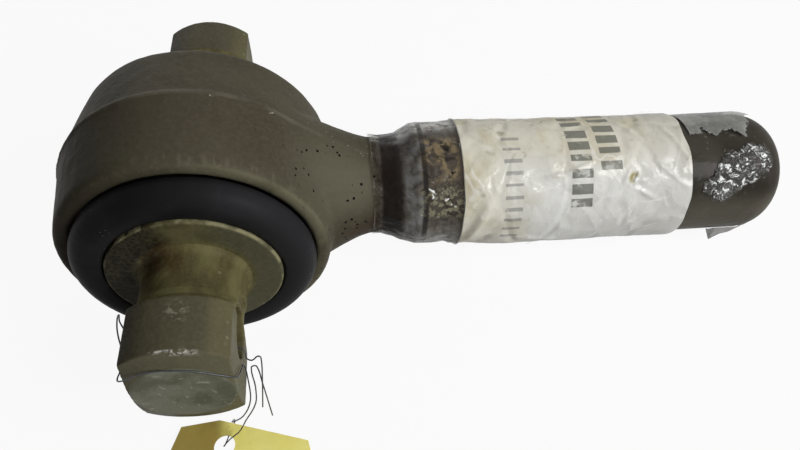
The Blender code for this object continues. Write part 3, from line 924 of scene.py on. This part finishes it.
def paper_stains(made, along, around):
    """Yellowed upper side and end by the eye, a greyer far end, dirt and one brown spot."""
    stain = made.patches(0.44, 0.66, 55, 8, 0.25)
    upper = made.at(around, PAPER_UPPER)
    near_eye = made.at(along, PAPER_NEAR_EYE)
    share = made.larger(made.times(upper, 0.88), made.times(near_eye, 0.8))
    made.lay((0.555, 0.522, 0.408), share, 0.8)
    made.lay((0.44, 0.4, 0.28), stain, made.plus(share, 0.12))
    made.lay((0.43, 0.42, 0.385), made.at(along, PAPER_GREY), 0.5)
    dirt = made.patches(0.6, 0.72, 150, 5, 1.2)
    made.lay((0.25, 0.22, 0.14), dirt, made.plus(made.times(share, 0.7), 0.1))
    spot = made.at(made.away(PAPER_SPOT), PAPER_SPOT_EDGE)
    made.lay((0.24, 0.21, 0.09), spot, made.patches(0.35, 0.55, 300))


def paper():
    """Paper sheet: stained and creased, with painted highlight lines along the creases and rows of plain
    bars.
    """
    made = Finish("wrap_paper")
    along = made.along(ROD_X)
    around = made.around()
    made.ground(made.noise(40), (0.53, 0.525, 0.49), (0.6, 0.6, 0.58))
    paper_stains(made, along, around)
    # painted highlights: thin light lines along the creases, as glare from the film
    crease = made.math("ABSOLUTE", made.minus(made.noise(30, 3, 0.6), 0.5))
    crease = made.times(made.between(crease, 0.011, 0.003), made.patches(0.46, 0.6, 55, 2))
    made.lay((0.74, 0.74, 0.71), crease, 0.4)
    ink = made.patches(0.3, 0.44, 160)
    bold = [made.times(made.bars(along, around, row, BOLD_STEP, BOLD_FILL), ink) for row in BOLD_ROWS]
    made.lay((0.075, 0.078, 0.06), made.larger(*bold), 0.85)
    thin = made.times(made.bars(along, around, THIN_ROW, THIN_STEP, THIN_FILL), ink)
    made.lay((0.13, 0.13, 0.13), thin, 0.6)
    made.set("Base Color", made.colour)
    made.set("Roughness", 0.6)
    made.set("Specular IOR Level", 0.25)
    facets = made.between(made.cells(58, "DISTANCE_TO_EDGE"), 0.0, 0.16)
    creases = made.bump(made.noise(60, 4, 0.3), 0.001, made.bump(facets, 0.00035))
    made.set("Normal", creases)
    made.set("Coat Weight", 0.22)
    made.set("Coat Roughness", 0.14)
    made.set("Coat Normal", made.bump(made.noise(170, 4, 0.5), 0.0006, creases))
    return made


def grease_stains(made, along, around):
    """Tan and mossy stains, cracks and painted glints where the greasy film swells."""
    tan = made.times(made.at(around, TAN_TURN), made.at(along, TAN_BAND))
    made.lay((0.185, 0.142, 0.08), tan, made.patches(0.42, 0.58, 210, 4, 0.6))
    place = made.times(made.at(around, MOSS_TURN), made.at(along, MOSS_BAND))
    made.lay((0.215, 0.208, 0.135), place, made.patches(0.47, 0.6, 560, 5, 0.5), 0.85)
    made.lay((0.006, 0.005, 0.004), made.at(along, CRACK_BAND), made.patches(0.66, 0.7, 330, 3))
    # painted glints on the mossy stains
    made.lay((0.78, 0.79, 0.76), place, made.patches(0.61, 0.67, 300, 4, 1.2))


def neck_grease(made, along, around):
    """Lays the greasy film's colours over the neck: haze partly painted as a ridge highlight, pale ends,
    painted sheen, stains, dark grease with painted shade in the groove, and a painted shadow line at the
    seam.
    """
    murk = made.patches(0.36, 0.6, 150, 5, 0.9)
    made.ground(murk, (0.02, 0.014, 0.01), (0.07, 0.059, 0.046))
    cloud = made.patches(0.34, 0.6, 130)
    # hazy film on the ridge, partly a painted highlight
    made.lay((0.165, 0.164, 0.16), made.at(along, HAZE_BAND), cloud, 0.85)
    ends = made.larger(made.at(around, PALE_UPPER), made.at(around, PALE_LOWER))
    made.lay((0.18, 0.17, 0.15), made.at(along, PALE_BAND), cloud, ends)
    # painted sheen on the film's upper back side
    made.lay((0.58, 0.57, 0.53), made.at(around, SHEEN_TURN), made.patches(0.4, 0.58, 240), 0.85)
    grease_stains(made, along, around)
    # dark grease with painted shade in the groove
    made.lay((0.009, 0.0062, 0.0048), made.at(along, GROOVE_BAND), 0.94)
    # painted shadow line where the film passes over the cap's edge
    made.lay((0.008, 0.006, 0.005), made.at(along, SEAM_BAND), made.patches(0.35, 0.55, 90), 0.85)
    made.lay((0.03, 0.022, 0.015), made.at(along, GREASE_EDGE), 0.6)
    made.lay((0.3, 0.26, 0.22), made.at(along, FILM_RIM), made.patches(0.4, 0.6, 120), 0.7)


def cap_flap(made, along, around):
    """Share of the hazy film on top of the cap, with a ragged lower edge that rises to the tip."""
    wander = made.times(made.minus(made.noise(130), 0.5), FLAP_WANDER)
    edge = made.plus(wander, FLAP_TURN)
    edge = made.plus(edge, made.times(made.at(along, FLAP_TAPER), FLAP_TAPER_TURN))
    above = made.between(made.minus(around, edge), FLAP_SOFT, -FLAP_SOFT)
    return made.times(made.at(along, FLAP_START), above)


def clear_film():
    """Clear wrap: greasy and dark over the neck, clear over the paper, hazy on top of the cap."""
    made = Finish("wrap_film")
    along = made.along(ROD_X)
    around = made.around()
    greasy = made.at(along, GREASE_END)
    flap = cap_flap(made, along, around)
    hazy = made.mix(made.patches(0.35, 0.65, 90), (0.17, 0.17, 0.153), (0.31, 0.31, 0.285))
    clear = made.mix(flap, (0.72, 0.72, 0.71), hazy)
    neck_grease(made, along, around)
    made.ground(greasy, clear, made.colour)
    wrinkle = made.patches(0.6, 0.76, 210, 5, 1.5)
    alpha = made.larger(made.range(wrinkle, 0.0, 0.16), made.times(flap, 0.85))
    start = made.range(made.at(along, FILM_THICKENS), 0.35, 1.0)
    made.set("Alpha", made.larger(alpha, made.times(greasy, start)))
    made.surface(160, 0.14, 0.34, 0.06)
    wrinkles = made.bump(made.noise(240, 5, 0.7), 0.0006)
    made.set("Normal", wrinkles)
    made.set("Coat Weight", made.times(made.at(along, GLOSS_BAND), 0.14))
    made.set("Coat Roughness", 0.1)
    made.set("Coat Normal", wrinkles)
    return made


def hazy_film():
    """Dull grimy film where it hangs loose."""
    made = Finish("loose_film")
    made.ground(made.noise(240), (0.045, 0.041, 0.033), (0.125, 0.12, 0.1))
    made.set("Base Color", made.colour)
    made.set("Alpha", made.range(made.noise(180, 3), 0.75, 1.0))
    made.set("Roughness", 0.35)
    made.set("Specular IOR Level", 0.2)
    return made


def wire_steel():
    """Dark thin wire."""
    made = Finish("dark_wire")
    made.ground(made.noise(400, 3), (0.03, 0.031, 0.034), (0.075, 0.078, 0.085))
    made.surface(900, 0.3, 0.55)
    made.set("Metallic", 0.8)
    return made


def yellow_card():
    """Yellow card with painted shade, darker gold to the left of its hole, and scuffs."""
    made = Finish("tag_card")
    made.ground(made.noise(70, 5), (0.88, 0.77, 0.14), (0.97, 0.9, 0.34))
    # painted shade: darker gold on the left part of the card
    dark = made.ragged(made.along(CARD_SIDE), *CARD_SHADE, 0.006, 60, 3)
    gold = made.mix(made.noise(90), (0.19, 0.128, 0.02), (0.32, 0.225, 0.04))
    made.lay(gold, dark, 0.9)
    made.lay((0.42, 0.32, 0.08), made.patches(0.62, 0.7, 180, 5, 1.0), 0.4)
    made.surface(140, 0.45, 0.7)
    made.set("Normal", made.bump(made.noise(160), 0.0003))
    return made


# Pieces

def forging_skin():
    """Forging with rounded edges, a raised parting line and a hammered surface."""
    piece = refined("rod_end_forging", "forging_skin", "rod_end", *FORGING_MESH)
    points = into(ROD, points_of(piece.data))
    eye_round = rounded(points, EYE_FACETS, 0, 2)
    neck_round = rounded(points, NECK_FACETS, 1, 2)
    share = ramp(points[:, 0], NECK_ROUND_START, NECK_ROUND_LENGTH)[:, None]
    points = eye_round * (1 - share) + neck_round * share
    bend = eased(ramp(points[:, 0], NECK_BEND_START, NECK_BEND_LENGTH))
    points += (bend * NECK_BEND)[:, None] * np.array(UPPER_SIDE)
    set_points(piece.data, out_of(ROD, points))
    outside = np.hypot(points[:, 0], points[:, 2]) > LUMPS_FROM_RADIUS
    ridge = np.exp(-((points[:, 1] / PARTING_WIDTH) ** 2))
    ridge *= PARTING_EVEN + lumps_at(points, PARTING_UNEVEN)
    shown = outside & (points[:, 0] <= LUMPS_END)
    lumps = PARTING_HEIGHT * ridge + lumps_at(points, FORGING_LUMPS)
    lump_points(piece, np.where(shown, lumps, 0.0))
    return piece


def lowered_crown(points):
    """How far each point of the pin rises for the front shoulder or sinks for the front crown."""
    front = -points[:, 1]
    up = points[:, 2]
    crown = ramp(up, 0, CROWN_EASE) * ramp(front, TANG_START, TANG_EASE)
    climb = ramp(front, SHOULDER_START, SHOULDER_END - SHOULDER_START)
    reach = np.hypot(points[:, 0], up)
    target = PIN_RADIUS + SHOULDER_RISE * climb * climb
    low = (up > 0) & (climb > 0) & (climb < 1) & (reach > PIN_RADIUS * SHOULDER_LEAST)
    lift = np.where(low, np.maximum(target - reach, 0.0), 0.0) * ramp(up, 0, SHOULDER_EASE)
    return lift - TANG_DROP * crown


def pin_skin():
    """Pin with true rounds, a fillet at each washer, a lowered front crown and a rough surface."""
    piece = refined("bar_pin", "pin_skin", "pin", *PIN_MESH)
    points = into(ROD, points_of(piece.data))
    turned = (np.abs(points[:, 0]) < ROUND_HALF_WIDTH) | (np.abs(points[:, 1]) < ROUND_HALF_LENGTH)
    points = np.where(turned[:, None], rounded(points, PIN_FACETS, 0, 2), points)
    beyond = ramp(np.abs(points[:, 1]), FILLET_START, PIN_FILLET)
    flare = PIN_FILLET * (1 - np.sqrt(1 - (1 - beyond) ** 2))
    flare[np.abs(points[:, 1]) < FILLET_START] = 0.0
    grow = 1 + flare / PIN_RADIUS
    points = points * np.stack([grow, np.ones_like(grow), grow], 1)
    points[:, 2] += lowered_crown(points)
    set_points(piece.data, out_of(ROD, points))
    lump_points(piece, lumps_at(points, PIN_LUMPS))
    return piece


def washer_skin(node, name):
    """Thrust washer with a true round."""
    piece = refined(node, name, "pin", *WASHER_MESH)
    points = rounded(into(ROD, points_of(piece.data)), PIN_FACETS, 0, 2)
    set_points(piece.data, out_of(ROD, points))
    return piece


def rubber_skin():
    """Bush with a true round, on no body."""
    piece = refined("rubber_bush", "rubber_skin", None, *RUBBER_MESH)
    points = rounded(into(ROD, points_of(piece.data)), PIN_FACETS, 0, 2)
    set_points(piece.data, out_of(ROD, points))
    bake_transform(piece)
    return piece


def uneven(line, x, angles):
    """Radius from a line of upper and lower radii, eased from one side to the other."""
    stations, upper, lower = np.array(line).T
    share = (1 + np.cos(angles - FACING_ANGLE + math.pi / 2)) / 2
    return np.interp(x, stations, upper) * share + np.interp(x, stations, lower) * (1 - share)


def cap_radius(x):
    """Outer radius of the domed cap."""
    lean = ramp(x, CAP_STRAIGHT, CAP_CORNER)
    return CAP_RADIUS - CAP_CORNER + CAP_CORNER * np.sqrt(1 - lean * lean)


def cap_skin():
    """Cap with an even dome, from where its skin starts."""

    def place(shares, angles):
        straight = CAP_STRAIGHT - CAP_SHOWN
        run = shares * (straight + CAP_CORNER * math.pi / 2 + CAP_RADIUS - CAP_CORNER)
        bend = np.clip((run - straight) / CAP_CORNER, 0, math.pi / 2)
        flat = np.clip(run - straight - CAP_CORNER * math.pi / 2, 0, None)
        x = np.minimum(CAP_SHOWN + run, CAP_STRAIGHT) + CAP_CORNER * np.sin(bend)
        radius = np.maximum(CAP_RADIUS - CAP_CORNER + CAP_CORNER * np.cos(bend) - flat, CAP_TIP)
        return round_rod(x, radius, angles)

    piece = grid_skin("cap_skin", CAP_GRID, place)
    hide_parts("thread_protector")
    return piece


def folds(x, angles, lines):
    """Height of soft folds: each line is x and turn at both ends, height and width."""
    turn = np.degrees(np.angle(np.exp(1j * (angles - FACING_ANGLE))))
    spots = np.stack([x, LABEL_RADIUS * np.radians(turn)], 1)
    height = np.zeros(len(x))
    for x0, turn0, x1, turn1, rise, width in lines:
        first = np.array((x0, LABEL_RADIUS * math.radians(turn0)))
        span = np.array((x1, LABEL_RADIUS * math.radians(turn1))) - first
        share = np.clip((spots - first) @ span / (span @ span), 0, 1)
        gap = np.linalg.norm(spots - first - share[:, None] * span, axis=1)
        taper = np.sin(math.pi * np.clip(share, FOLD_END, 1 - FOLD_END))
        height += rise * taper * np.exp(-((gap / width) ** 2))
    return height


def wavy_ends(shares, angles, start, start_wave, stop, stop_wave):
    """Length along the rod for each share of a wrap whose two ends wave round the rod."""
    ring = np.stack([np.cos(angles), np.sin(angles), np.zeros_like(angles)], 1)
    left = start + lumps_at(ring, start_wave)
    right = stop + lumps_at(ring, stop_wave)
    return left + (right - left) * shares


def label_skin():
    """Paper wound round the cap, creased and with uneven edges."""
    start, stop = ends_along("instruction_label")

    def place(shares, angles):
        ends = (start - LABEL_EARLY, LABEL_START_WAVE, stop - LABEL_SHORT, LABEL_END_WAVE)
        x = wavy_ends(shares, angles, *ends)
        spots = round_rod(x, LABEL_RADIUS, angles)
        crease = sum(size * np.abs(noise_of(spots, scale, seed)) for size, scale, seed in LABEL_CREASES)
        rise = LABEL_CREASE * crease - LABEL_SINK + folds(x, angles, LABEL_FOLDS)
        rise = np.clip(rise, LABEL_LOWEST, LABEL_HIGHEST)
        radius = np.maximum(uneven(LABEL_LINE, x, angles) + rise, CAP_RADIUS + LABEL_GAP)
        return round_rod(x, radius, angles)

    piece = grid_skin("label_skin", LABEL_GRID, place)
    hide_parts("instruction_label")
    return piece


def film_skin():
    """Film drawn in at the neck, swelling over the thread's start, then over paper and cap."""

    def place(shares, angles):
        ends = (FILM_LINE[0][0], FILM_START_WAVE, FILM_LINE[-1][0] - FILM_SHORT, FILM_END_WAVE)
        x = wavy_ends(shares, angles, *ends)
        base = uneven(FILM_LINE, x, angles)
        base -= np.where(x > CAP_STRAIGHT, CAP_RADIUS - cap_radius(x), 0.0)
        gathers = round_rod(x * GATHER_STRETCH, FILM_RADIUS, angles)
        spots = round_rod(x, FILM_RADIUS, angles)
        on_neck = np.clip((GATHER_END - x) / GATHER_EASE, 0, 1)
        pulled = lumps_at(gathers, FILM_GATHERS) + lumps_at(spots, FILM_LUMPS)
        crease = np.abs(lumps_at(spots, FILM_CREASES))
        radius = base + pulled * on_neck + crease * (1 - on_neck)
        return round_rod(x, radius, angles)

    piece = grid_skin("film_skin", FILM_GRID, place)
    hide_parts("clear_film")
    return piece


def film_fringe():
    """Torn edge of the film that hangs from the lower side of the cap."""
    rows, columns = FRINGE_GRID
    stations = np.linspace(FRINGE_LINE[0][0], FRINGE_LINE[-1][0], columns)
    drop = np.interp(stations, *np.array(FRINGE_LINE).T)
    points = []
    for row in range(rows):
        share = row / (rows - 1)
        turn = FACING_ANGLE + math.radians(FRINGE_START + (FRINGE_END - FRINGE_START) * share)
        ripple = share * lumps_at(round_rod(stations, np.ones(columns), turn), FRINGE_RIPPLE)
        radius = cap_radius(stations) + FRINGE_GAP + drop * share**FRINGE_FLARE + ripple
        points.append(round_rod(stations, radius, turn))
    mesh = grid_mesh("film_fringe", out_of(ROD, np.concatenate(points)), rows, columns, False)
    return link("film_fringe", mesh, "rod_end")


def tag_wire():
    """Wire of the tag along its route, as thick as its points' radii."""
    foot = np.array((EYE.x, 0.0, 0.0))
    path = [point + foot for point in smooth_route(WIRE_ROUTE, WIRE_STEPS)]
    curve = bpy.data.curves.new("wire_skin", "CURVE")
    curve.dimensions = "3D"
    curve.bevel_depth = 1.0
    curve.bevel_resolution = 3
    curve.use_fill_caps = True
    spline = curve.splines.new("POLY")
    spline.points.add(len(path) - 1)
    for point, spot in zip(spline.points, path):
        point.co = (*spot, 1.0)
        point.radius = WIRE_DIAMETER / 2
    piece = link("wire_skin", curve, "pin")
    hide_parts("tag_wire")
    return piece


def smooth_node(node):
    """Smooth shading for a CAD node that stays in view."""
    piece = frame["nodes"][node]
    piece.data.shade_smooth()
    piece.data.set_sharp_from_angle(angle=SHARP_ANGLE)
    return piece


# Studio

def floor_paint():
    """Pale floor that looks white, apart from a share that keeps the shadow."""
    paint = bpy.data.materials.new("floor_paint")
    paint.use_nodes = True
    made = Nodes(paint.node_tree)
    shader = made.tree.nodes["Principled BSDF"]
    made.feed(shader.inputs["Base Color"], (FLOOR_GREY, FLOOR_GREY, FLOOR_GREY, 1.0))
    made.feed(shader.inputs["Roughness"], FLOOR_ROUGHNESS)
    glow = made.node("ShaderNodeEmission", {"Strength": 1.0})
    inputs = {0: made.times(made.seen(), FLOOR_GLOW), 1: shader.outputs[0], 2: glow.outputs[0]}
    blend = made.node("ShaderNodeMixShader", inputs)
    made.feed(made.tree.nodes["Material Output"].inputs["Surface"], blend.outputs[0])
    return paint


def studio():
    sides = ((-1, -1), (1, -1), (1, 1), (-1, 1))
    corners = [(x * FLOOR_REACH, y * FLOOR_REACH, -FLOOR_DEPTH) for x, y in sides]
    mesh = bpy.data.meshes.new("floor")
    mesh.from_pydata(corners, [], [(0, 1, 2, 3)])
    floor = new_object("floor", mesh)
    floor.data.materials.append(floor_paint())


def sky():
    """White air for the rays that see it, and dim light on everything else."""
    world = bpy.data.worlds.new("studio_air")
    bpy.context.scene.world = world
    world.use_nodes = True
    made = Nodes(world.node_tree)
    air = made.tree.nodes["Background"]
    made.feed(air.inputs["Color"], (1.0, 1.0, 1.0, 1.0))
    made.feed(air.inputs["Strength"], made.range(made.seen(), AIR_LIGHT, 1.0))


def lamp(name, place, size, power):
    data = bpy.data.lights.new(name, "AREA")
    data.shape = "SQUARE"
    data.size = size
    data.energy = power
    made = new_object(name, data)
    made.location = place
    made.rotation_euler = (Vector(LAMP_AIM) - Vector(place)).to_track_quat("-Z", "Y").to_euler()


def camera():
    """Camera at the photo's angle, set out from the rod frame."""
    flat = math.cos(CAMERA_ELEVATION)
    east = math.sin(CAMERA_AZIMUTH) * flat
    south = math.cos(CAMERA_AZIMUTH) * flat
    back = Vector((east, -south, math.sin(CAMERA_ELEVATION)))
    level = Vector((0, 0, 1)).cross(back).normalized()
    upright = back.cross(level)
    right = math.cos(CAMERA_ROLL) * level + math.sin(CAMERA_ROLL) * upright
    up = back.cross(right)
    place = back * CAMERA_DISTANCE + right * CAMERA_RIGHT + up * CAMERA_UP
    axes = Matrix((right, up, back)).transposed().to_4x4()
    data = bpy.data.cameras.new("camera")
    data.sensor_fit = "HORIZONTAL"
    data.sensor_width = CAMERA_SENSOR
    data.lens = CAMERA_LENS
    data.clip_start = CAMERA_NEAR
    made = new_object("camera", data)
    made.matrix_world = ROD @ Matrix.Translation(place) @ axes
    bpy.context.scene.camera = made


def build():
    olive = olive_paint()
    pin = pin_paint()
    steel = plain_steel()
    dress(forging_skin(), olive)
    dress(pin_skin(), pin)
    dress(washer_skin("front_thrust_washer", "front_washer_skin"), pin)
    dress(washer_skin("rear_thrust_washer", "rear_washer_skin"), pin)
    dress(rubber_skin(), black_rubber())
    dress(cap_skin(), brown_cap())
    dress(label_skin(), paper())
    dress(film_skin(), clear_film())
    dress(film_fringe(), hazy_film())
    dress(tag_wire(), wire_steel())
    dress(smooth_node("stock_tag"), yellow_card())
    for node in ("front_outer_sleeve", "rear_outer_sleeve", "front_snap_ring", "rear_snap_ring"):
        dress(smooth_node(node), steel)


camera()
studio()
sky()
for settings in LAMPS:
    lamp(*settings)
build()

scene = bpy.context.scene
scene.view_settings.view_transform = "Standard"
bpy.context.view_layer.update()
